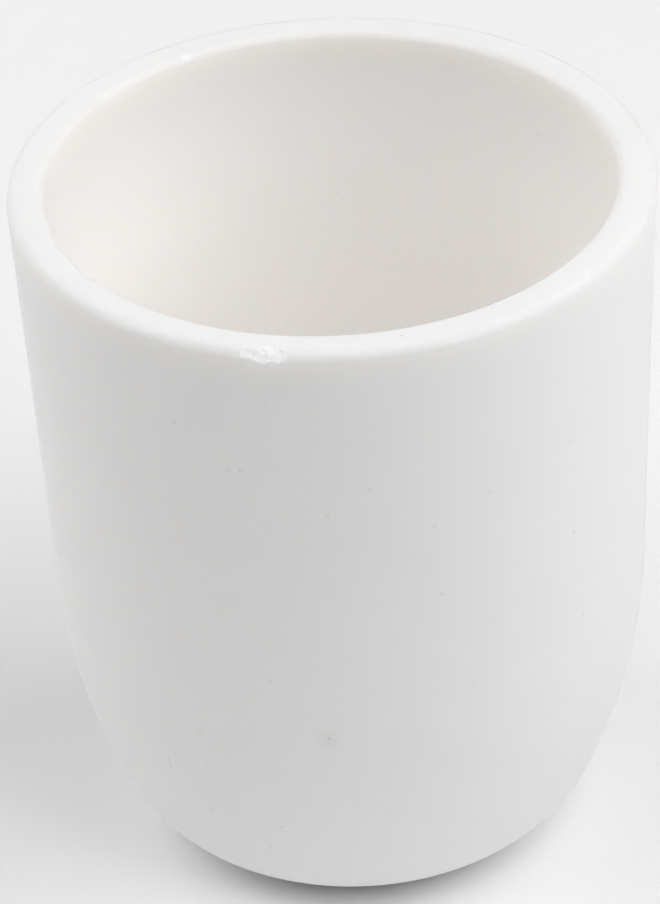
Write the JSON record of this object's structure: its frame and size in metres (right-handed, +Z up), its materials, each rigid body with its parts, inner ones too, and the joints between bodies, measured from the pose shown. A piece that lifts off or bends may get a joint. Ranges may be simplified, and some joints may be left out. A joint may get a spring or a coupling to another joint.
{
  "type": "alumina crucible",
  "caption": "Tall white ceramic laboratory cup with a flat rim, slightly tapered wall, rounded belly and flat foot, for holding samples and melts in a furnace.",
  "frame": {"origin": "centre of the flat foot", "axes": "+Z up along the turning axis, towards the open rim; -Y is the side with the chipped rim"},
  "size_m": [0.046, 0.046, 0.053],
  "materials": {
    "alumina": "matte sintered, unglazed"
  },
  "bodies": {
    "root": {"crucible_body": "alumina"}
  },
  "joints": []
}
